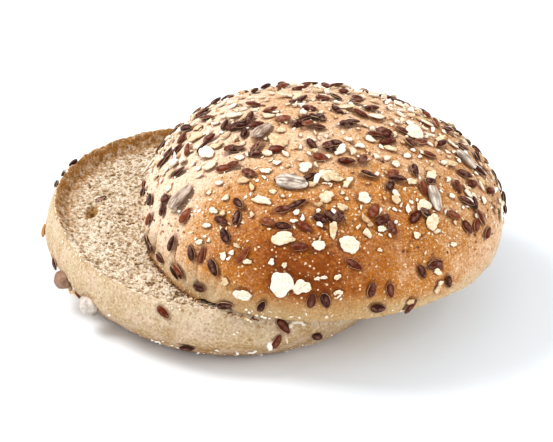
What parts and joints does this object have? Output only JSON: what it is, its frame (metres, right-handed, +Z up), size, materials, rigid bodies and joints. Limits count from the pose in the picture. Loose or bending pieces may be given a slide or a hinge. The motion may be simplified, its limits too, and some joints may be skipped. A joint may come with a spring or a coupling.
{
  "type": "sliced seeded hamburger bun",
  "caption": "Sliced multigrain hamburger bun: a domed crown baked with flax seeds, oat flakes and kernels lies shifted on its flat-bottomed heel, whose cut face shows.",
  "frame": {"origin": "middle of the heel's flat underside, on which the bun rests", "axes": "+Z up, +X towards the side that the crown is pushed to, along the longest extent, -Y the front"},
  "size_m": [0.1425, 0.1206, 0.06],
  "materials": {
    "golden_crust": "baked bread crust, golden brown on top and paler towards the cut, satin",
    "pale_crust": "soft pale bread crust with bran specks, matte",
    "crumb": "open wholemeal crumb, cream with grey-brown pores, matte",
    "flax_seed": "smooth dark red-brown seed coat, satin",
    "oat_flake": "rolled oat, creamy white, matte",
    "kernel": "toasted sunflower kernel, grey beige with darker streaks, satin"
  },
  "bodies": {
    "root": {"crown": "golden_crust", "heel": "pale_crust"}
  },
  "joints": []
}
